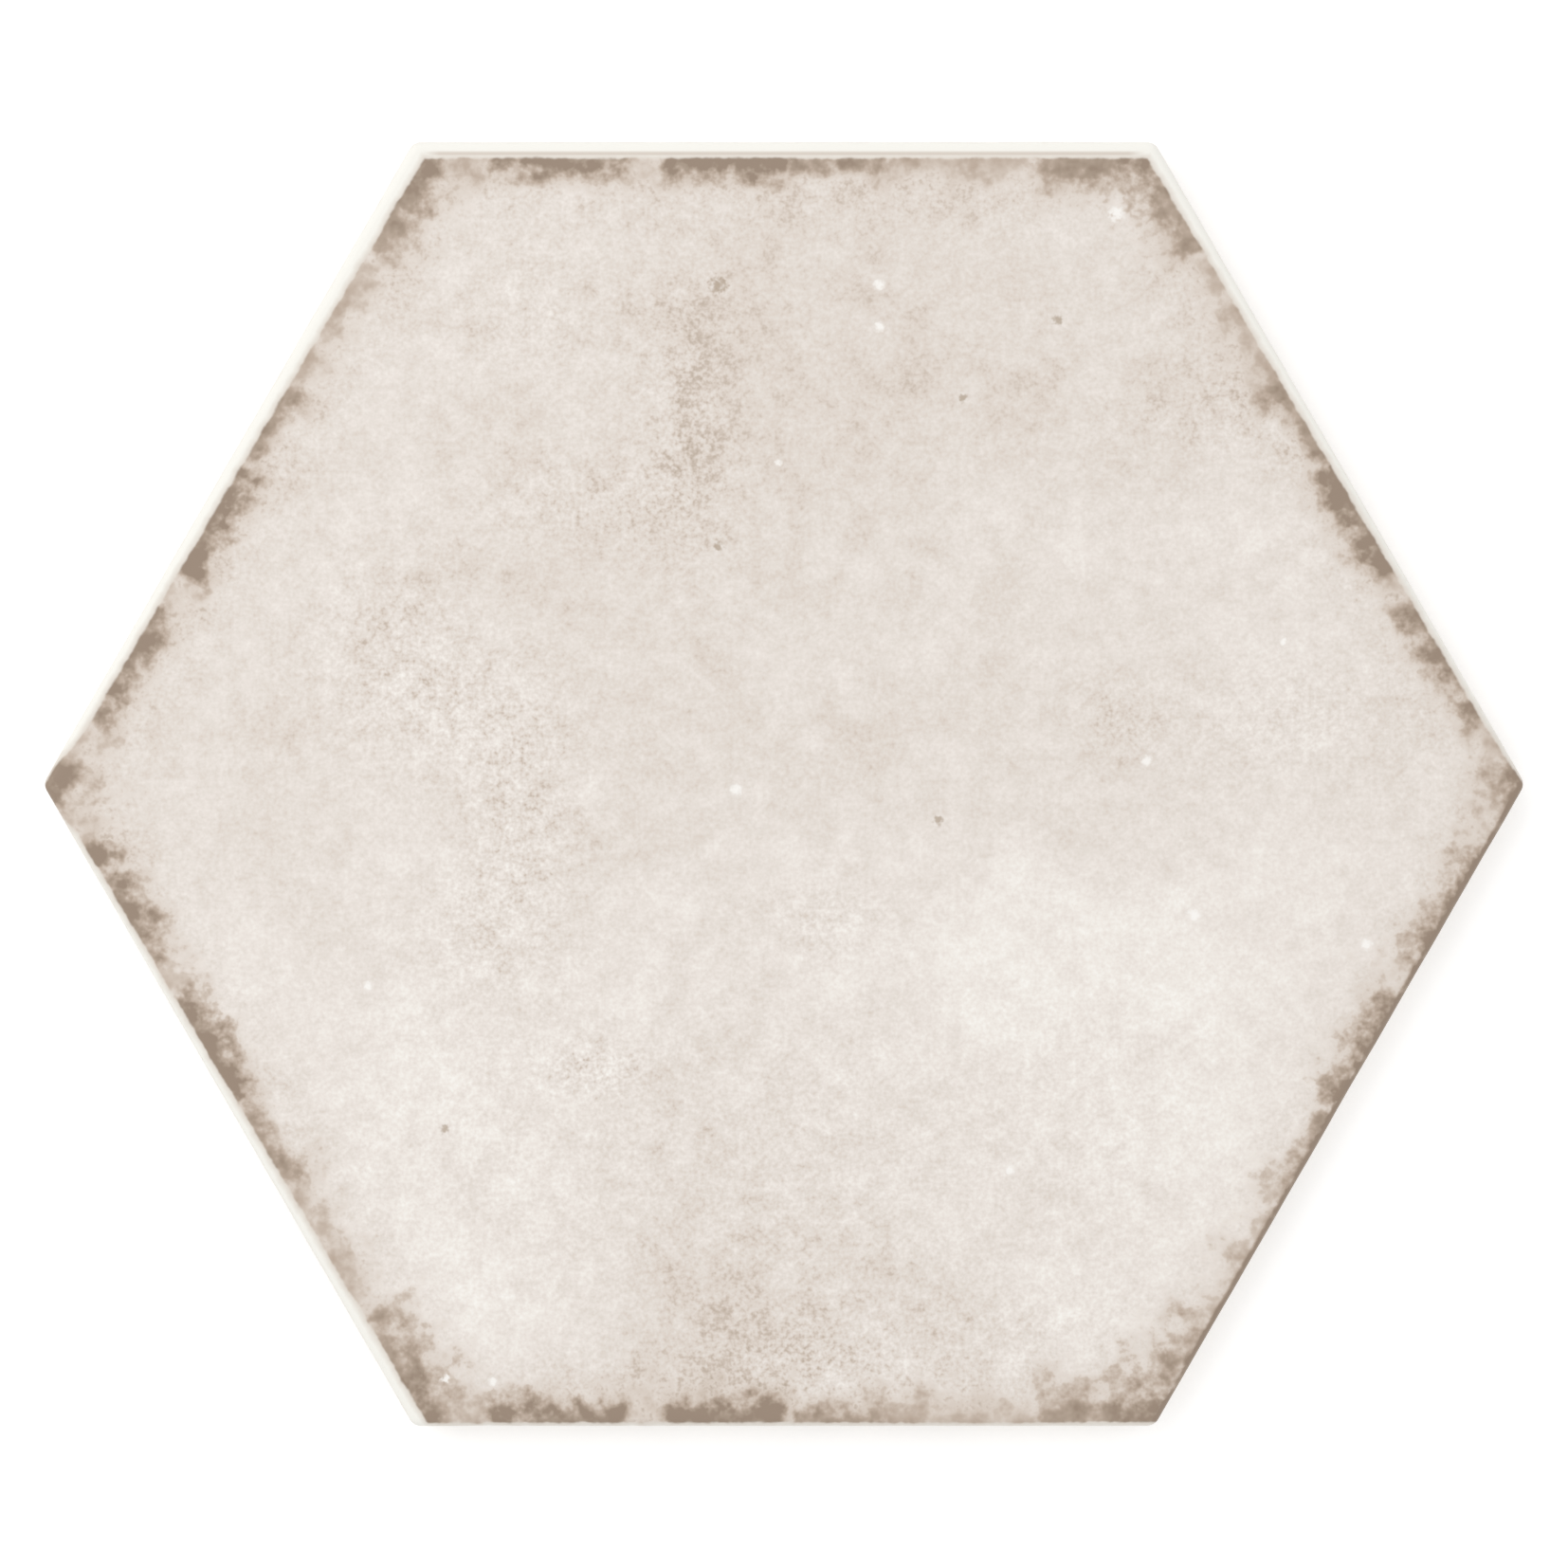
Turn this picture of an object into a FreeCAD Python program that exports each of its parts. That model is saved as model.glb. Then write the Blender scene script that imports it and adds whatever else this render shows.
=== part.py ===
"""Hexagon floor tile: one dust-pressed, glazed and fired piece of porcelain stoneware.

The tile lies face up. +Z is up, +X runs from corner to corner and +Y from side to side. The origin is
on the bed plane, the plane of the back's rib tops, under the middle of the tile. All sizes are in
millimetres.

From the face down, the piece has a flat glazed face, a rolled arris all round it, side walls that lean
inwards so that the pressed tile leaves its die, a small chamfer along the foot of the walls, and a keyed
back: a plain rim round a honeycomb of shallow drafted pockets, which the adhesive grips.
"""
import FreeCAD
import Part
import math
import os

# Outline and thickness. The side walls are widest just under the arris. There the sides, carried on past
# their rounded corners, would meet this far apart.
ACROSS_CORNERS = 250.0
THICKNESS = 9.5

# Edge of the face. The flat face has nearly sharp corners, and the arris rolls round them.
FACE_CORNER_RADIUS = 0.6
ARRIS_RADIUS = 1.6

# Side walls
WALL_DRAFT_DEG = 3.0
FOOT_CHAMFER = 0.9

# Keyed back. The pitch is from one pocket's middle to the next, and the rib is what is left between.
POCKET_PITCH = 18.0
RIB_WIDTH = 3.6
RIM_WIDTH = 7.0
POCKET_DEPTH = 0.8
POCKET_DRAFT_DEG = 25.0
LEAST_POCKET_SHARE = 0.3  # a pocket that the rim cuts to less than this share is left out

SIDES = 6


def at_angle(radius, degrees):
    """The offset of a given length in a given direction on the bed plane."""
    angle = math.radians(degrees)
    return FreeCAD.Vector(radius * math.cos(angle), radius * math.sin(angle), 0.0)


def corner_distance(apothem):
    """From the middle of a regular hexagon to its corners, where the apothem reaches its sides."""
    return apothem / math.cos(math.pi / SIDES)


def hexagon(apothem, z, first_corner_deg=0.0, centre=FreeCAD.Vector()):
    """The corners of a level hexagon, anticlockwise from the first one's direction."""
    middle = centre + FreeCAD.Vector(0.0, 0.0, z)
    return [
        middle + at_angle(corner_distance(apothem), first_corner_deg + 360.0 / SIDES * i)
        for i in range(SIDES)
    ]


def tapered_solid(outlines):
    """The solid through level hexagons, from the lowest to the highest, with a flat face on each side."""
    sides = []
    for lower, upper in zip(outlines, outlines[1:]):
        for i in range(SIDES):
            sides.append([lower[i - 1], lower[i], upper[i], upper[i - 1]])
    ends = [outlines[0], outlines[-1]]
    faces = [Part.Face(Part.makePolygon(corners + corners[:1])) for corners in sides + ends]
    return Part.makeSolid(Part.makeShell(faces))


def widest_apothem():
    """From the middle to the side walls where they are widest, just under the arris."""
    return ACROSS_CORNERS / 2 * math.cos(math.pi / SIDES)


def wall_apothem(z):
    """From the middle to the leaning side wall at the height z."""
    below_arris = THICKNESS - ARRIS_RADIUS - z
    return widest_apothem() - below_arris * math.tan(math.radians(WALL_DRAFT_DEG))


def foot_apothem():
    """From the middle to the edge of the back, inside the foot's chamfer."""
    return wall_apothem(0.0) - FOOT_CHAMFER


def pressed_body():
    """The solid without its back relief: chamfered foot, leaning walls and the rolled arris."""
    block = tapered_solid([hexagon(wall_apothem(z), z) for z in (0.0, THICKNESS)])
    rising_edges = [edge for edge in block.Edges if edge.BoundBox.ZLength > THICKNESS / 2]
    block = block.makeFillet(FACE_CORNER_RADIUS + ARRIS_RADIUS, rising_edges)
    face_edges = [edge for edge in block.Edges if edge.BoundBox.ZMin > THICKNESS / 2]
    block = block.makeFillet(ARRIS_RADIUS, face_edges)
    foot_edges = [edge for edge in block.Edges if edge.BoundBox.ZMax < FOOT_CHAMFER / 2]
    return block.makeChamfer(FOOT_CHAMFER, foot_edges)


def punch_boss(mouth_apothem, first_corner_deg=0.0, centre=FreeCAD.Vector()):
    """The drafted hexagonal boss that presses a hollow of the pocket depth into the back."""
    spread = POCKET_DEPTH * math.tan(math.radians(POCKET_DRAFT_DEG))
    return tapered_solid([
        hexagon(mouth_apothem, 0.0, first_corner_deg, centre),
        hexagon(mouth_apothem - spread, POCKET_DEPTH, first_corner_deg, centre),
    ])


def pocket_centres(reach):
    """The middles of a honeycomb's cells out to a distance, one of them in the middle of the tile."""
    rings = math.ceil(reach / (POCKET_PITCH * math.cos(math.pi / SIDES)))
    along = at_angle(POCKET_PITCH, 0.0)
    across = at_angle(POCKET_PITCH, 60.0)
    for i in range(-rings, rings + 1):
        for j in range(-rings, rings + 1):
            if abs(i + j) <= rings:
                yield along * i + across * j


def back_pockets():
    """Every pocket of the honeycomb, with the outer ones cut short by the rim."""
    field_apothem = foot_apothem() - RIM_WIDTH
    field = punch_boss(field_apothem)
    pockets = []
    for centre in pocket_centres(corner_distance(field_apothem)):
        cell = punch_boss((POCKET_PITCH - RIB_WIDTH) / 2, 30.0, centre)
        pockets += [
            pocket
            for pocket in cell.common(field).Solids
            if pocket.Volume >= LEAST_POCKET_SHARE * cell.Volume
        ]
    return pockets


def hexagon_tile():
    """The whole tile, one solid."""
    tile = pressed_body().cut(Part.makeCompound(back_pockets()))
    return tile.Solids[0]


def main():
    os.makedirs("parts", exist_ok=True)
    tile = hexagon_tile()
    tile.exportStep("parts/hexagon_tile.step")
    box = tile.optimalBoundingBox()
    print(f"hexagon_tile: {box.XLength:.2f} x {box.YLength:.2f} x {box.ZLength:.2f} mm")
    print(f"volume {tile.Volume / 1000:.1f} cm3, {len(tile.Faces)} faces, valid: {tile.isValid()}")


main()
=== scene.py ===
"""The looks of the hexagon floor tile: a cream satin glaze over a print that is worn brown along its rim,
on a pressed stoneware body that shows bare on the side walls and the keyed back. Lengths are in metres.
"""
import math

import bmesh
import bpy
from mathutils import Matrix, Vector, noise


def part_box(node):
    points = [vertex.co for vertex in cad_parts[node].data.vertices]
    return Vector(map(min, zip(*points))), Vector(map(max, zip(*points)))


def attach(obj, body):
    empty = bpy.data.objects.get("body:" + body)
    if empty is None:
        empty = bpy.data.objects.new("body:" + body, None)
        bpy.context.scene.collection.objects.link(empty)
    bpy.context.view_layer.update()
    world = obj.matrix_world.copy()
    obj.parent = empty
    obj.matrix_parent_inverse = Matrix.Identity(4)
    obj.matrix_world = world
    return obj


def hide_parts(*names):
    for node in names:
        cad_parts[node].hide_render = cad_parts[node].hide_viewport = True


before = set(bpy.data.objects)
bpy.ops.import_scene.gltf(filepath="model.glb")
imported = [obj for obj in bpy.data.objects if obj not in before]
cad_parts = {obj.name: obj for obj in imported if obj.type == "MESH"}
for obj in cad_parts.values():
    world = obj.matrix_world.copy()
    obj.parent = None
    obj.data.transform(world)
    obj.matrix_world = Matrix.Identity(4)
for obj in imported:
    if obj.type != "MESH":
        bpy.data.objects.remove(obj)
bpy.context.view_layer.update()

# The glazed side of the tile. Stoneware dust is pressed face up in a steel die, so the face is flat but
# for a slight ripple, the arris rolls over all round it, and the walls lean in to leave the die. The
# glaze runs over the arris and stops a little way down the wall, in a wavering line with a thick lip.
MM = 0.001
_, tile_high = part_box("hexagon_tile")
thickness = tile_high.z
widest = tile_high.y
arris_radius = 1.6 * MM
face_corner_radius = 0.6 * MM
wall_draft = math.radians(3.0)
foot_chamfer = 0.9 * MM
face_ripple = 0.10 * MM
broad_ripple_size = 22 * MM
small_ripple_size = 7 * MM
edge_waver = 0.12 * MM
edge_waver_size = 9 * MM
glaze_reach = 2.6 * MM
glaze_line_waver = 0.5 * MM
glaze_line_waver_size = 12 * MM
glaze_drip = 0.9 * MM
glaze_drip_size = 4 * MM
glaze_lip = 0.16 * MM
lip_height = 0.5 * MM
lip_round = 0.12 * MM
lip_undercut = 0.06 * MM
half_side_turn = math.radians(30)
face_cells = 100
corner_cells = 4
arris_steps = 7
wall_steps = 6
glazed_wall_steps = 3
# The face's rings take on the rounded corners, and its ripple dies out, only near the edge. These are the
# powers of the share of the way from the middle to the edge that bring that about.
corner_power = 8
ripple_power = 30


def side_directions(side):
    """Outwards from the middle of a side, and along it anticlockwise. Side 0 faces up and to the right."""
    turn = half_side_turn * (1 + 2 * side)
    return Vector((math.cos(turn), math.sin(turn))), Vector((-math.sin(turn), math.cos(turn)))


def outline_point(side, along, apothem, corner_radius):
    """A point on a hexagon with rounded corners, where along runs from -1 to 1 over the side."""
    outwards, onwards = side_directions(side)
    arc_start = 1 - 2 * corner_cells / face_cells
    straight = (apothem - corner_radius) * math.tan(half_side_turn)
    if abs(along) <= arc_start:
        return outwards * apothem + onwards * (straight * along / arc_start)
    turn = half_side_turn * (abs(along) - arc_start) / (1 - arc_start)
    return (
        outwards * (apothem - corner_radius + corner_radius * math.cos(turn))
        + onwards * math.copysign(straight + corner_radius * math.sin(turn), along)
    )


def waver(place, size, seed):
    """A smooth random number from -1 to 1 that changes over about the given size."""
    return noise.noise(Vector((place.x / size, place.y / size, seed)))


# Each vertex of the face keeps its side and its place along that side, and the rings below read them.
tile = bmesh.new()
side_of = tile.verts.layers.int.new("side")
along_of = tile.verts.layers.float.new("along")
bmesh.ops.create_circle(
    tile, cap_ends=True, cap_tris=True, segments=6, radius=1.0,
    matrix=Matrix.Rotation(half_side_turn, 4, "Z"),
)
bmesh.ops.subdivide_edges(tile, edges=tile.edges, cuts=face_cells - 1, use_grid_fill=True)
for vert in tile.verts:
    side = int(math.degrees(math.atan2(vert.co.y, vert.co.x)) % 360 // 60)
    outwards, onwards = side_directions(side)
    reach = vert.co.xy.dot(outwards)
    if reach > 0:
        vert[along_of] = max(-1, min(1, vert.co.xy.dot(onwards) / (reach * math.tan(half_side_turn))))
    vert[side_of] = side
    share = reach / math.cos(half_side_turn)
    across = (widest - arris_radius) * math.tan(half_side_turn) * vert[along_of]
    even = outwards * (widest - arris_radius) + onwards * across
    rounded = outline_point(side, vert[along_of], widest - arris_radius, face_corner_radius)
    place = even.lerp(rounded, share ** corner_power) * share
    ripple = 0.6 * waver(place, broad_ripple_size, 1.7) + 0.4 * waver(place, small_ripple_size, 5.1)
    sink = face_ripple * (0.5 + 0.5 * ripple) * (1 - share ** ripple_power)
    vert.co = (*place, thickness - sink)


def ring_place(vert, level):
    """Where a vertex of the face's edge goes on a ring, whose level is counted down from the face."""
    side, along = vert[side_of], vert[along_of]
    place = outline_point(side, along, widest, face_corner_radius + arris_radius)
    inset = edge_waver * (0.5 + 0.5 * waver(place, edge_waver_size, 2.3))
    if level <= arris_steps:
        turn = (math.pi / 2 + wall_draft) * level / arris_steps
        reach = arris_radius * math.sin(turn)
        z = thickness - arris_radius * (1 - math.cos(turn))
    else:
        glaze_end = thickness - glaze_reach - glaze_line_waver * waver(place, glaze_line_waver_size, 8.8)
        glaze_end -= glaze_drip * max(0.0, waver(place, glaze_drip_size, 4.4))
        z, recess = (
            (glaze_end + lip_height, 0.0),
            (glaze_end + lip_round, 0.0),
            (glaze_end - lip_undercut, glaze_lip),
            ((glaze_end + foot_chamfer) / 2, glaze_lip),
            (foot_chamfer, glaze_lip),
            (0.0, foot_chamfer),
        )[level - arris_steps - 1]
        foot_of_arris = thickness - arris_radius * (1 + math.sin(wall_draft))
        reach = arris_radius * math.cos(wall_draft) - (foot_of_arris - z) * math.tan(wall_draft) - recess
    outer = outline_point(side, along, widest - arris_radius - inset + reach, face_corner_radius + reach)
    return Vector((*outer, z))


glazed, bare = 0, 1
ring_edges = [edge for edge in tile.edges if edge.is_boundary]
for level in range(1, arris_steps + wall_steps + 1):
    extruded = bmesh.ops.extrude_edge_only(tile, edges=ring_edges)["geom"]
    for vert in (item for item in extruded if isinstance(item, bmesh.types.BMVert)):
        vert.co = ring_place(vert, level)
    ring_edges = [item for item in extruded if isinstance(item, bmesh.types.BMEdge) and item.is_boundary]
    for face in (item for item in extruded if isinstance(item, bmesh.types.BMFace)):
        face.material_index = bare if level > arris_steps + glazed_wall_steps else glazed

# The keyed back. The punch leaves a honeycomb of shallow drafted pockets inside a plain rim, so that the
# adhesive grips. Its edges are a little soft, because pressed dust never fills a sharp corner.
pocket_pitch = 18.0 * MM
rib_width = 3.6 * MM
rim_width = 7.0 * MM
pocket_depth = 0.8 * MM
pocket_draft = math.radians(25)
pocket_corner = 1.3 * MM
pressed_edge = 0.22 * MM
least_cell_share = 0.45
weld_distance = 0.01 * MM
back_apothem = min(edge.verts[0].co.xy.length for edge in ring_edges)
honeycomb_reach = math.ceil(back_apothem / math.cos(half_side_turn) / pocket_pitch) + 1
back = bmesh.new()
for i in range(-honeycomb_reach, honeycomb_reach + 1):
    for j in range(-honeycomb_reach, honeycomb_reach + 1):
        if abs(i + j) <= honeycomb_reach:
            centre = Vector((i + j / 2, j * math.cos(half_side_turn), 0)) * pocket_pitch
            bmesh.ops.create_circle(
                back, cap_ends=True, segments=6, radius=pocket_pitch / 2 / math.cos(half_side_turn),
                matrix=Matrix.Translation(centre),
            )
bmesh.ops.remove_doubles(back, verts=back.verts, dist=weld_distance)
for side in range(6):
    outwards = side_directions(side)[0].to_3d()
    bmesh.ops.bisect_plane(
        back, geom=[*back.faces, *back.edges, *back.verts], plane_no=outwards,
        plane_co=outwards * (back_apothem - rim_width + rib_width / 2), clear_outer=True,
    )
whole_cell = pocket_pitch ** 2 * math.cos(half_side_turn)
pockets = [face for face in back.faces if face.calc_area() > least_cell_share * whole_cell]
bmesh.ops.inset_individual(back, faces=pockets, thickness=rib_width / 2, use_even_offset=True)
bmesh.ops.inset_individual(
    back, faces=pockets, thickness=pocket_depth * math.tan(pocket_draft), depth=pocket_depth,
    use_even_offset=True,
)
for pocket in pockets:
    rising = {edge for vert in pocket.verts for edge in vert.link_edges if edge not in pocket.edges}
    bmesh.ops.bevel(
        back, geom=list(rising), offset=pocket_corner, offset_type="OFFSET", segments=3, profile=0.5,
        affect="EDGES", material=-1, clamp_overlap=True,
    )
brinks = [
    edge
    for edge in back.edges
    if not edge.is_boundary and edge.calc_face_angle() > pocket_draft
    and abs(edge.verts[0].co.z - edge.verts[1].co.z) < pocket_depth / 10
]
bmesh.ops.bevel(
    back, geom=brinks, offset=pressed_edge, offset_type="OFFSET", segments=2, profile=0.5,
    affect="EDGES", material=-1, clamp_overlap=False,
)
for face in back.faces:
    face.material_index = bare
back_mesh = bpy.data.meshes.new("keyed_back")
back.to_mesh(back_mesh)
back.free()
tile.from_mesh(back_mesh)
bpy.data.meshes.remove(back_mesh)
gap_edges = [edge for edge in tile.edges if edge.is_boundary]
filled = bmesh.ops.triangle_fill(tile, use_beauty=True, edges=gap_edges, normal=(0, 0, -1))["geom"]
for face in (item for item in filled if isinstance(item, bmesh.types.BMFace)):
    face.material_index = bare
bmesh.ops.recalc_face_normals(tile, faces=tile.faces)

# The print and its wear. The print was laid a little low and to the right, so a band of plain pale glaze
# is left along the other sides. The print's brown ground shows in worn patches along the rim, which fade
# inwards into flecks, the same run of them on every side. Along the lower right side a thin dark line at
# the very edge is painted shade of the arris that turns away from the lamp. All places here are in
# millimetres.
side_length = 2 * widest / MM * math.tan(half_side_turn)
patch_end_fade = 2.2

# A patch is its start and end along the run, its depth in from the edge, its softness and its darkness.
rim_wear = [
    (-3, 6.0, 3.4, 0.6, 1.05), (-3, 6.5, 10.0, 1.1, 0.8), (3.5, 13.5, 7.2, 1.0, 0.42),
    (11.5, 19, 6.0, 0.75, 0.95), (17, 37.6, 6.5, 0.8, 0.96), (35.5, 42.5, 8.0, 1.0, 0.3),
    (40.7, 64.8, 7.0, 0.75, 1.0), (62.5, 78.5, 4.3, 0.75, 0.84), (74.8, 80.8, 7.4, 0.75, 0.8),
    (78.5, 88, 6.6, 0.9, 0.54), (84.5, 93, 5.6, 0.9, 0.4), (89.5, 98, 6.8, 0.9, 0.52),
    (94.5, 105.5, 6.0, 0.9, 0.43), (103.8, 113, 10.0, 0.85, 0.75), (109, 119.5, 9.2, 0.8, 0.82),
    (115.5, 128, 10.8, 0.9, 0.94),
]
left_corner = (-3, 8, 13.0, 1.0, 0.95)
# The edge line is painted shade: a thin dark brown line along the very edge of the lower right side, where
# the arris turns away from the lamp.
painted_edge_shade = (-3, 128, 1.4, 0.35, 1.1)

# The sides are in anticlockwise order. Each has the width of its band at places along the run, how much
# deeper and softer its wear is than the run's, and its patches of wear, which on the lower right include the
# painted edge shade. The run starts from the left on the level sides, and else from the left or right
# corner, so on three of the sides it goes on anticlockwise.
side_print = {
    "upper right": {
        "band": [(0, 0.4), (10, 1.1), (125, 2.6)], "deeper": 1.0, "softer": 1.0, "wear_and_shade": rim_wear,
    },
    "top": {"band": [(0, 2.95)], "deeper": 0.87, "softer": 1.0, "wear_and_shade": rim_wear},
    "upper left": {
        "band": [(0, 0.4), (5, 0.6), (9, 1.8), (125, 3.2)], "deeper": 1.0, "softer": 1.0,
        "wear_and_shade": [*rim_wear, left_corner],
    },
    "lower left": {
        "band": [(0, -0.1), (7, 0.2), (11, 1.1), (125, 2.5)], "deeper": 1.1, "softer": 1.05,
        "wear_and_shade": rim_wear,
    },
    "bottom": {"band": [(0, 0.7)], "deeper": 1.12, "softer": 1.0, "wear_and_shade": rim_wear},
    "lower right": {"band": [(0, -1.6)], "deeper": 1.17, "softer": 1.2, "wear_and_shade": [*rim_wear, painted_edge_shade]},
}
anticlockwise_runs = {"upper right", "lower left", "bottom"}

# The print is paler or darker in soft clouds, and more restless in the speckled spots.
clouds = [
    (-14, 69, 16, 24, -0.55), (4, 36, 30, 36, -0.3), (52, 64, 30, 13, -0.38), (32, 80, 28, 15, -0.35),
    (14, 94, 46, 12, -0.22), (38, 42, 12, 12, 0.15), (16, 64, 16, 12, -0.2),
    (-42, 24, 14, 14, -0.35), (-95, 6, 20, 24, -0.25), (48, 3, 20, 12, -0.34), (-6, -2, 24, 14, 0.05),
    (-82, -38, 24, 14, 0.5), (-60, -55, 18, 18, 0.65), (-50, -88, 18, 14, 0.7), (-22, -34, 24, 14, 0.3),
    (50, -30, 34, 16, 0.6), (45, -48, 26, 16, 0.35), (73, -62, 18, 20, 0.5), (46, -86, 18, 16, 0.5),
    (-33, -60, 12, 16, 0.2), (-12, -92, 20, 16, -0.7), (14, -84, 26, 14, -0.3), (-46, 58, 20, 26, -0.2),
    (58, 97, 10, 7, 0.5), (92, -22, 16, 14, 0.3), (76, 42, 14, 14, 0.3), (-75, 42, 16, 14, -0.2),
    (-20, 79, 6, 5, -0.25), (-16, 54, 6, 6, -0.2), (-32, -90, 10, 10, 0.3),
]
speckled_spots = [
    (-16, 62, 8, 22, 0.5), (-43, 80, 14, 12, 0.35), (-33, 48, 20, 8, 0.4), (-65, 22, 14, 14, 0.55),
    (-52, 11, 14, 10, 0.55), (-44, -8, 9, 18, 0.7), (-52, -24, 9, 10, 0.45), (7, -23, 8, 6, 0.5),
    (-32, -48, 8, 4, 0.9), (57, 11, 7, 6, 0.4), (84, 11, 16, 8, 0.4), (71, 62, 14, 6, 0.3),
    (7, -97, 22, 8, 0.45), (44, -92, 16, 8, 0.3), (-45, -60, 32, 36, 0.25), (8, -68, 28, 30, 0.3),
    (52, -58, 18, 26, 0.2),
]

# The measure of wear runs from unworn to fully worn, and on the lower right it also carries the painted edge
# shade. Where patches overlap, the most worn one weighs most in how dark the place is.
unworn = -6.0
fully_worn = 1.4
most_worn_wins = 5
least_weight = 1e-9


def in_spots(place, spots):
    """The sum of soft round spots at a place. Each spot has a middle, two radii and a strength."""
    return sum(
        strength * math.exp(-(((place.x - x) / wide) ** 2) - ((place.y - y) / high) ** 2)
        for x, y, wide, high, strength in spots
    )


def print_at(place):
    """How far inside the print a place is, how worn it is, above 0 in a patch or in the painted edge shade
    of the lower right, and how dark that is.
    """
    inside_print, worn_and_shaded, darkness, weights = math.inf, unworn, 0.0, least_weight
    for side, (name, printed) in enumerate(side_print.items()):
        outwards, onwards = side_directions(side)
        run = side_length / 2 + place.dot(onwards) * (1 if name in anticlockwise_runs else -1)
        band = printed["band"][0][1]
        for (start, narrow), (end, wide) in zip(printed["band"], printed["band"][1:]):
            band += (wide - narrow) * max(0.0, min(1.0, (run - start) / (end - start)))
        from_wall = widest / MM - place.dot(outwards)
        inside_print = min(inside_print, from_wall - band)
        for start, end, depth, softness, tone in printed["wear_and_shade"]:
            depth *= printed["deeper"]
            here = min(
                (depth - from_wall + max(band, 0.0)) / (softness * printed["softer"] * depth),
                (run - start) / patch_end_fade,
                (end - run) / patch_end_fade,
                fully_worn,
            )
            worn_and_shaded = max(worn_and_shaded, here)
            weight = math.exp(most_worn_wins * here)
            darkness += weight * tone
            weights += weight
    return inside_print, worn_and_shaded, darkness / weights


print_layers = {
    name: tile.verts.layers.float.new(name)
    for name in ("inside_print", "worn_and_shaded", "darkness", "cloud", "speckle")
}
for vert in tile.verts:
    if vert.co.z > thickness / 2:
        place = vert.co.xy / MM
        values = (*print_at(place), in_spots(place, clouds), in_spots(place, speckled_spots))
        for layer, value in zip(print_layers.values(), values):
            vert[layer] = value

# The large flats of the body are shaded flat, and every edge that is sharper than the crease stays crisp.
largest_smooth_face = 3 * MM ** 2
crease = math.radians(35)
for face in tile.faces:
    face.smooth = face.calc_area() < largest_smooth_face or face.material_index == glazed
for edge in tile.edges:
    edge.smooth = edge.calc_face_angle() < crease
tile_object = bpy.data.objects.new("glazed_tile", bpy.data.meshes.new("glazed_tile"))
tile.to_mesh(tile_object.data)
tile.free()
bpy.context.scene.collection.objects.link(tile_object)
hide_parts("hexagon_tile")
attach(tile_object, "root")


# The glaze is a satin stoneware glaze over an inkjet print: cream, clouded and finely mottled, with a few
# pinholes and iron specks. Where it is worn the brown ground shows, darkest at the very edge, and along the
# lower right the darkest edge line is painted shade. The pattern reads the print and wear measures above,
# and its noise is sized in millimetres.
def linear(hex_colour):
    """The linear colour of an sRGB hex value."""
    channels = [int(hex_colour[i:i + 2], 16) / 255 for i in (1, 3, 5)]
    return (*(c / 12.92 if c <= 0.04045 else ((c + 0.055) / 1.055) ** 2.4 for c in channels), 1.0)


def add(tree, kind, inputs=None, **settings):
    """Adds a node. An input takes a value, a socket, or a node, which is linked by its first live output."""
    node = tree.nodes.new("ShaderNode" + kind)
    for name, value in settings.items():
        setattr(node, name, value)
    for name, value in (inputs or {}).items():
        live = [socket for socket in node.inputs if socket.enabled]
        target = live[name] if isinstance(name, int) else next(s for s in live if s.name == name)
        if isinstance(value, bpy.types.Node):
            value = next(socket for socket in value.outputs if socket.enabled)
        if isinstance(value, bpy.types.NodeSocket):
            tree.links.new(value, target)
        else:
            target.default_value = value
    return node


def set_stops(ramp, stops):
    """Gives a colour ramp its stops, each a position and an sRGB hex value."""
    elements = ramp.color_ramp.elements
    while len(elements) < len(stops):
        elements.new(1.0)
    for element, (position, hex_colour) in zip(elements, stops):
        element.position = position
        element.color = linear(hex_colour)


def new_material(name):
    """A material with an empty node tree."""
    material = bpy.data.materials.new(name)
    material.use_nodes = True
    material.node_tree.nodes.clear()
    return material, material.node_tree


def stirred(tree, value, patterns):
    """A value with noise patterns added to it, each centred on nought and times its strength."""
    for pattern, strength in patterns:
        centred = add(tree, "Math", {0: pattern, 1: 0.5}, operation="SUBTRACT")
        value = add(tree, "Math", {0: centred, 1: strength, 2: value}, operation="MULTIPLY_ADD")
    return value


glaze, tree = new_material("satin_stoneware_glaze")
coordinates = add(tree, "TexCoord").outputs["Object"]
measure = {name: add(tree, "Attribute", attribute_name=name).outputs["Fac"] for name in print_layers}

# The dots of the ink are about 0.1 mm, too fine to show, so the grain is drawn at 0.78 mm.
drift, blotch, mottle, grain, tongue = (
    add(
        tree, "TexNoise",
        {"Vector": coordinates, "Scale": 1 / (size * MM), "Detail": detail, "Roughness": 0.6},
    )
    for size, detail in ((26, 3.0), (6.0, 2.0), (2.6, 2.0), (0.78, 1.0), (5.0, 2.0))
)

# The unworn print. It darkens and grows more restless over its outer 14 mm.
near_rim = add(tree, "MapRange", {0: measure["inside_print"], 1: 2.0, 2: 14.0, 3: 0.45, 4: 0.0})
restless = add(tree, "Math", {0: measure["speckle"], 1: 1.4, 2: 0.8}, operation="MULTIPLY_ADD")
restless = add(tree, "Math", {0: restless, 1: near_rim}, operation="ADD")
mottle_strength = add(tree, "Math", {0: restless, 1: 0.50}, operation="MULTIPLY")
grain_strength = add(tree, "Math", {0: restless, 1: 0.60}, operation="MULTIPLY")
lightness = add(tree, "Math", {0: measure["cloud"], 1: 0.29, 2: 0.57}, operation="MULTIPLY_ADD")
lightness = add(tree, "Math", {0: measure["speckle"], 1: -0.06, 2: lightness}, operation="MULTIPLY_ADD")
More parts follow.
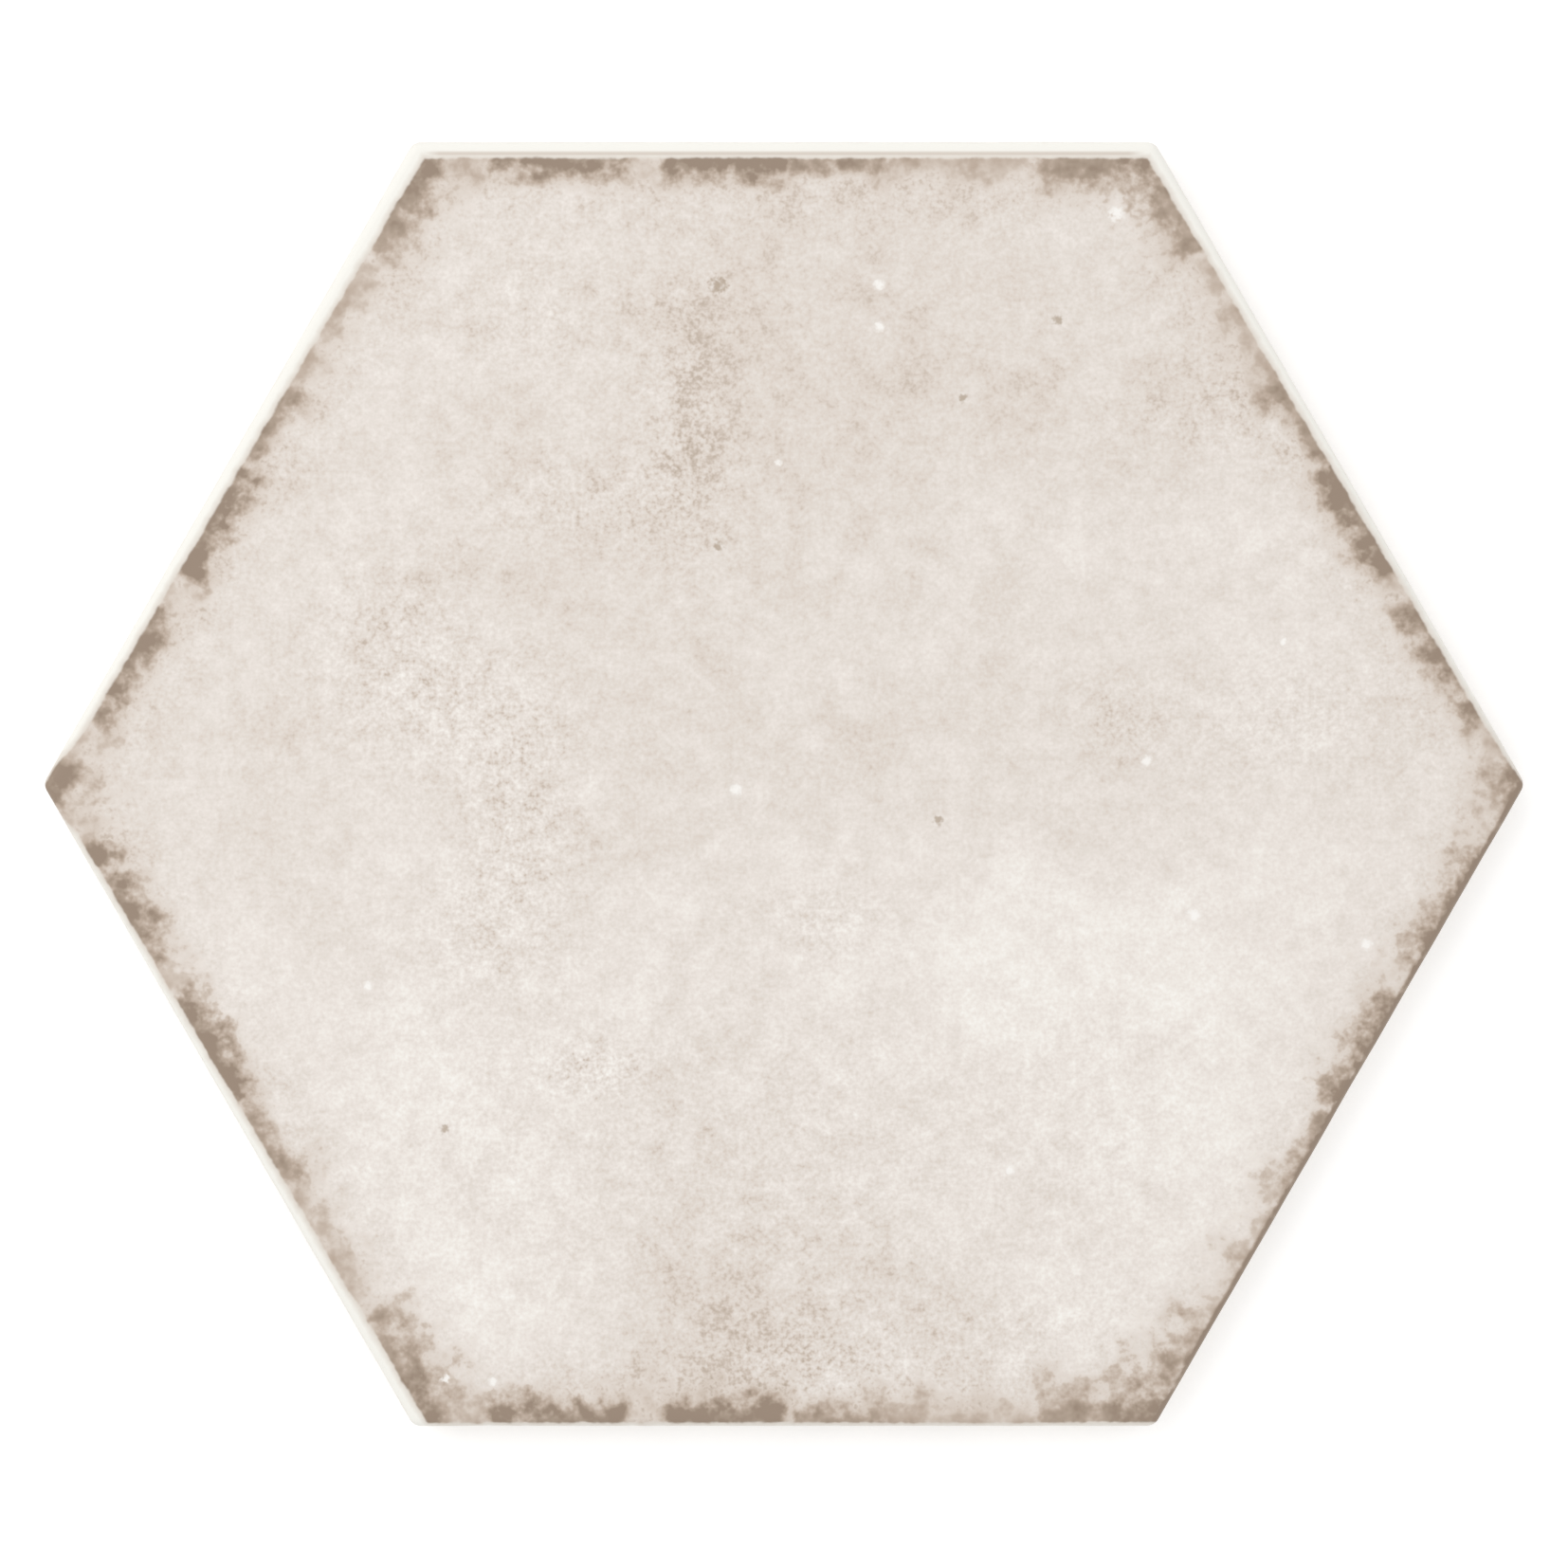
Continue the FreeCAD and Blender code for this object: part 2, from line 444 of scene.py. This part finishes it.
lightness = add(tree, "Math", {0: near_rim, 1: -0.28, 2: lightness}, operation="MULTIPLY_ADD")
lightness = stirred(
    tree, lightness, [(drift, 0.36), (blotch, 0.42), (mottle, mottle_strength), (grain, grain_strength)]
)
cream = add(tree, "ValToRGB", {0: lightness})
set_stops(cream, [
    (0.0, "#B6A797"), (0.2, "#CABCAF"), (0.36, "#DBD0C6"), (0.52, "#E2DAD2"), (0.64, "#E8E0D9"),
    (0.8, "#EFE9E2"), (1.0, "#F7F4EE"),
])

# The worn rim, with the painted edge shade of the lower right. Noise breaks its inner border into tongues
# and flecks, and its brown pales as it thins out.
worn_and_shaded = stirred(tree, measure["worn_and_shaded"], [(tongue, 1.6), (mottle, 1.3), (grain, 0.7)])
bared_and_shaded = add(tree, "MapRange", {0: worn_and_shaded, 1: -0.1, 2: 1.1, 3: 0.0, 4: 1.0}, interpolation_type="SMOOTHSTEP")
tone = stirred(tree, measure["darkness"], [(tongue, 0.6), (mottle, 0.8)])
paling = add(tree, "MapRange", {0: measure["worn_and_shaded"], 1: -0.5, 2: 0.9, 3: 0.4, 4: 1.0})
stain_and_shade = add(tree, "Math", {0: bared_and_shaded, 1: tone}, operation="MULTIPLY")
stain_and_shade = add(tree, "Math", {0: stain_and_shade, 1: paling}, operation="MULTIPLY")
brown = add(tree, "ValToRGB", {0: stain_and_shade})
set_stops(brown, [
    (0.0, "#DED3C9"), (0.35, "#CDBFB2"), (0.65, "#B8A696"), (0.9, "#A2907F"), (1.0, "#968372"),
])
stained_and_shaded = add(tree, "MapRange", {0: stain_and_shade, 1: 0.0, 2: 0.3, 3: 0.0, 4: 1.0})
colour = add(tree, "Mix", {"Factor": stained_and_shaded, "A": cream, "B": brown}, data_type="RGBA")

# Single iron specks and pale pinholes, each a place and a radius in millimetres.
brown_specks = [
    (-11, 40, 0.8), (26, -6, 0.8), (46, 78, 0.8), (30, 65, 0.7), (-57, -58, 0.7), (-11, 84, 1.4),
]
white_specks = [
    (56, 96, 1.2), (-8, -1, 1.0), (61, 4, 0.9), (16, 84, 0.9), (16, 77, 0.8), (69, -22, 1.0),
    (38, -65, 0.8), (-1, 54, 0.6), (84, 24, 0.6), (-70, -34, 0.8), (98, -27, 1.0), (-57, -100, 0.7),
    (-49, -100.5, 0.7),
]
for specks, speck_colour, strength in ((brown_specks, "#A8957F", 0.7), (white_specks, "#FCFAF6", 0.8)):
    nearest = None
    for x, y, radius in specks:
        middle = Vector((x * MM, y * MM, thickness))
        distance = add(tree, "VectorMath", {0: coordinates, 1: middle}, operation="DISTANCE")
        radii = add(tree, "Math", {0: distance.outputs["Value"], 1: radius * MM}, operation="DIVIDE")
        nearest = add(tree, "Math", {0: nearest, 1: radii}, operation="MINIMUM") if nearest else radii
    uneven = add(tree, "Math", {0: grain, 1: 2.0, 2: nearest}, operation="MULTIPLY_ADD")
    cover = add(
        tree, "MapRange", {0: uneven, 1: 1.3, 2: 2.4, 3: strength, 4: 0.0}, interpolation_type="SMOOTHSTEP"
    )
    colour = add(tree, "Mix", {"Factor": cover, "A": colour, "B": linear(speck_colour)}, data_type="RGBA")

# Ink feathers out a little past the print's edge on to the plain glaze, and along the top there is a
# stray line of it, which stops short of the corners.
stray_line = widest - 2.2 * MM
stray_half_width = 0.15 * MM
stray_feather = 0.4 * MM
stray_half_length = 58 * MM
stray_end_fade = 3 * MM
ragged_edge = add(tree, "Math", {0: mottle, 1: 0.9, 2: measure["inside_print"]}, operation="MULTIPLY_ADD")
printed = add(
    tree, "MapRange", {0: ragged_edge, 1: 0.25, 2: 0.75, 3: 0.0, 4: 1.0}, interpolation_type="SMOOTHSTEP"
)
feathered = add(tree, "MapRange", {0: ragged_edge, 1: -0.6, 2: 0.25, 3: 0.0, 4: 0.5})
across, up, height = add(tree, "SeparateXYZ", {0: coordinates}).outputs
off_line = add(tree, "Math", {0: up, 1: stray_line}, operation="SUBTRACT")
off_line = add(tree, "Math", {0: off_line}, operation="ABSOLUTE")
stray = add(
    tree, "MapRange",
    {0: off_line, 1: stray_half_width, 2: stray_half_width + stray_feather, 3: 0.75, 4: 0.0},
)
from_middle = add(tree, "Math", {0: across}, operation="ABSOLUTE")
stray = add(
    tree, "MapRange",
    {0: from_middle, 1: stray_half_length, 2: stray_half_length + stray_end_fade, 3: stray, 4: 0.0},
)
inked = add(tree, "Math", {0: feathered, 1: stray}, operation="MAXIMUM")
plain = add(
    tree, "Mix", {"Factor": inked, "A": linear("#F4F2EB"), "B": linear("#CDBFB2")}, data_type="RGBA"
)
colour = add(tree, "Mix", {"Factor": printed, "A": plain, "B": colour}, data_type="RGBA")

# The glaze thins down the wall, and the body shows through it more and more towards the lip. The thinning
# begins already on the outer arris, so the tile's very edge seen from above is darkened as painted shade
# that outlines it.
thinning_and_edge_shade_start = 1.4 * MM
thinning_end = 4.2 * MM
thinning_waver = 1.6 * MM
depth_down = add(tree, "Math", {0: thickness, 1: height}, operation="SUBTRACT")
depth_down = add(tree, "Math", {0: mottle, 1: thinning_waver, 2: depth_down}, operation="MULTIPLY_ADD")
thinning_and_edge_shade = add(tree, "MapRange", {0: depth_down, 1: thinning_and_edge_shade_start, 2: thinning_end, 3: 0.0, 4: 0.6})
colour = add(tree, "Mix", {"Factor": thinning_and_edge_shade, "A": colour, "B": linear("#C6B8A4")}, data_type="RGBA")

# The surface is faintly dimpled. It is lower and less glossy where the print is worn.
dimple_size = 2.2 * MM
dimple_depth = 0.06 * MM
satin = 0.38
worn_satin = 0.58
dimples = add(tree, "TexNoise", {"Vector": coordinates, "Scale": 1 / dimple_size, "Detail": 2.0})
relief = add(tree, "Math", {0: bared_and_shaded, 1: -0.35, 2: dimples}, operation="MULTIPLY_ADD")
relief = add(tree, "Math", {0: grain, 1: 0.12, 2: relief}, operation="MULTIPLY_ADD")
bumps = add(tree, "Bump", {"Height": relief, "Distance": dimple_depth, "Strength": 0.6})
roughness = add(tree, "MapRange", {0: bared_and_shaded, 1: 0.0, 2: 1.0, 3: satin, 4: worn_satin})
shader = add(
    tree, "BsdfPrincipled", {"Base Color": colour, "Roughness": roughness, "IOR": 1.5, "Normal": bumps}
)
add(tree, "OutputMaterial", {"Surface": shader})
tile_object.data.materials.append(glaze)

# The bare body is porcelain stoneware fired to a matt beige biscuit, grained by the pressed dust, with
# iron specks of all sizes. The walls keep faint upright drag marks of the die, and the rib tops of the
# back a thin dusting of pale kiln wash from the rollers.
biscuit, tree = new_material("fired_stoneware_body")
coordinates = add(tree, "TexCoord").outputs["Object"]
drag_mark_size = 1.1 * MM
body_relief = 0.2 * MM

# The granules of the dust are about 0.3 mm, too fine to show, so the grain is drawn at 0.7 mm.
drift, grain = (
    add(
        tree, "TexNoise",
        {"Vector": coordinates, "Scale": 1 / (size * MM), "Detail": detail, "Roughness": 0.65},
    )
    for size, detail in ((18, 4.0), (0.7, 3.0))
)
upright = add(tree, "VectorMath", {0: coordinates, 1: (1.0, 1.0, 0.12)}, operation="MULTIPLY")
drag = add(tree, "TexNoise", {"Vector": upright, "Scale": 1 / drag_mark_size, "Detail": 2.0})
warmth = add(tree, "Math", {0: grain, 1: 0.6, 2: drift}, operation="MULTIPLY_ADD")
body_colour = add(tree, "ValToRGB", {0: warmth})
set_stops(body_colour, [(0.5, "#A99A87"), (1.0, "#CEC0AE")])

# There is an iron speck in each cell, and the cell's random colour sets how large it is.
speck_cell = 2.0 * MM
specks = add(tree, "TexVoronoi", {"Vector": coordinates, "Scale": 1 / speck_cell})
speck_size = add(tree, "SeparateColor", {0: specks.outputs["Color"]})
uneven = add(tree, "Math", {0: grain, 1: 0.16, 2: specks.outputs["Distance"]}, operation="MULTIPLY_ADD")
uneven = add(tree, "Math", {0: uneven, 1: speck_size}, operation="DIVIDE")
iron = add(tree, "MapRange", {0: uneven, 1: 0.16, 2: 0.24, 3: 0.7, 4: 0.0})
colour = add(tree, "Mix", {"Factor": iron, "A": body_colour, "B": linear("#7C6C5A")}, data_type="RGBA")

# The rollers of the kiln touch only the rib tops, so the wash ends on their soft edges.
wash_full = 0.05 * MM
wash_end = 0.22 * MM
height = add(tree, "SeparateXYZ", {0: coordinates}).outputs["Z"]
rib_top = add(tree, "MapRange", {0: height, 1: wash_full, 2: wash_end, 3: 1.0, 4: 0.0})
dusting = add(tree, "MapRange", {0: warmth, 1: 0.6, 2: 0.95, 3: 0.0, 4: 0.6})
wash = add(tree, "Math", {0: rib_top, 1: dusting}, operation="MULTIPLY")
colour = add(tree, "Mix", {"Factor": wash, "A": colour, "B": linear("#E3DCD0")}, data_type="RGBA")
relief = add(tree, "Math", {0: drag, 1: 0.8, 2: grain}, operation="MULTIPLY_ADD")
bumps = add(tree, "Bump", {"Height": relief, "Distance": body_relief, "Strength": 0.9})
shader = add(
    tree, "BsdfPrincipled", {"Base Color": colour, "Roughness": 0.88, "IOR": 1.5, "Normal": bumps}
)
add(tree, "OutputMaterial", {"Surface": shader})
tile_object.data.materials.append(biscuit)

# The floor is a plain white sweep, a hair below the tile, and clear from below so that the back shows.
# It keeps the tile's soft shadow, and the camera and the glaze see it white.
floor_drop = 0.2 * MM
floor_half_width = 4.0
floor = bpy.data.objects.new("floor", bpy.data.meshes.new("floor"))
sweep = bmesh.new()
bmesh.ops.create_grid(
    sweep, x_segments=1, y_segments=1, size=floor_half_width,
    matrix=Matrix.Translation((0, 0, -floor_drop)),
)
sweep.to_mesh(floor.data)
sweep.free()
bpy.context.scene.collection.objects.link(floor)


def seen_by(tree, ray):
    """1 for the rays of the eye, of gloss and of clear things, and 0 for those that only carry light."""
    seen = ray.outputs["Is Camera Ray"]
    for kind in ("Is Glossy Ray", "Is Transmission Ray"):
        seen = add(tree, "Math", {0: seen, 1: ray.outputs[kind]}, operation="MAXIMUM")
    return seen


paper, tree = new_material("white_sweep")
ray = add(tree, "LightPath")
glow_strength = add(tree, "Math", {0: seen_by(tree, ray), 1: 0.28}, operation="MULTIPLY")
matt = add(tree, "BsdfDiffuse", {"Color": linear("#F7F7F7")})
glow = add(tree, "Emission", {"Color": (1, 1, 1, 1), "Strength": glow_strength})
white = add(tree, "AddShader", {0: matt, 1: glow})
underside = add(tree, "NewGeometry").outputs["Backfacing"]
from_below = add(
    tree, "Math", {0: underside, 1: ray.outputs["Transparent Depth"]}, operation="ADD", use_clamp=True
)
clear = add(tree, "BsdfTransparent")
surface = add(tree, "MixShader", {0: from_below, 1: white, 2: clear})
add(tree, "OutputMaterial", {"Surface": surface})
floor.data.materials.append(paper)

# Soft studio light: an even white surround, which the camera and the glaze see at full white, and one
# broad lamp from the upper left that brings out the relief.
surround_strength = 0.852
lamp_width = 1.2
lamp_power = 5.5
lamp_place = Vector((-0.75, 0.65, 1.1))
world = bpy.data.worlds.new("studio")
bpy.context.scene.world = world
world.use_nodes = True
tree = world.node_tree
tree.nodes.clear()
seen = seen_by(tree, add(tree, "LightPath"))
brightness = add(tree, "MapRange", {0: seen, 1: 0.0, 2: 1.0, 3: surround_strength, 4: 1.0})
surround = add(tree, "Background", {"Color": (1, 1, 1, 1), "Strength": brightness})
add(tree, "OutputWorld", {"Surface": surround})
lamp_data = bpy.data.lights.new("soft_box", "AREA")
lamp_data.shape = "SQUARE"
lamp_data.size = lamp_width
lamp_data.energy = lamp_power
lamp = bpy.data.objects.new("soft_box", lamp_data)
lamp.location = lamp_place
lamp.rotation_euler = (-lamp_place).to_track_quat("-Z", "Y").to_euler()
bpy.context.scene.collection.objects.link(lamp)

# The camera looks straight down at the face. The tile's size in the picture sets how far up it is.
picture_pixels = 1654
pixels_per_mm = 6.27
camera_data = bpy.data.cameras.new("camera")
camera_data.lens = 100.0
camera = bpy.data.objects.new("camera", camera_data)
picture_width = picture_pixels / pixels_per_mm * MM
camera.location = (0, 0, thickness + picture_width * camera_data.lens / camera_data.sensor_width)
bpy.context.scene.collection.objects.link(camera)
bpy.context.scene.camera = camera
bpy.context.scene.view_settings.view_transform = "Standard"
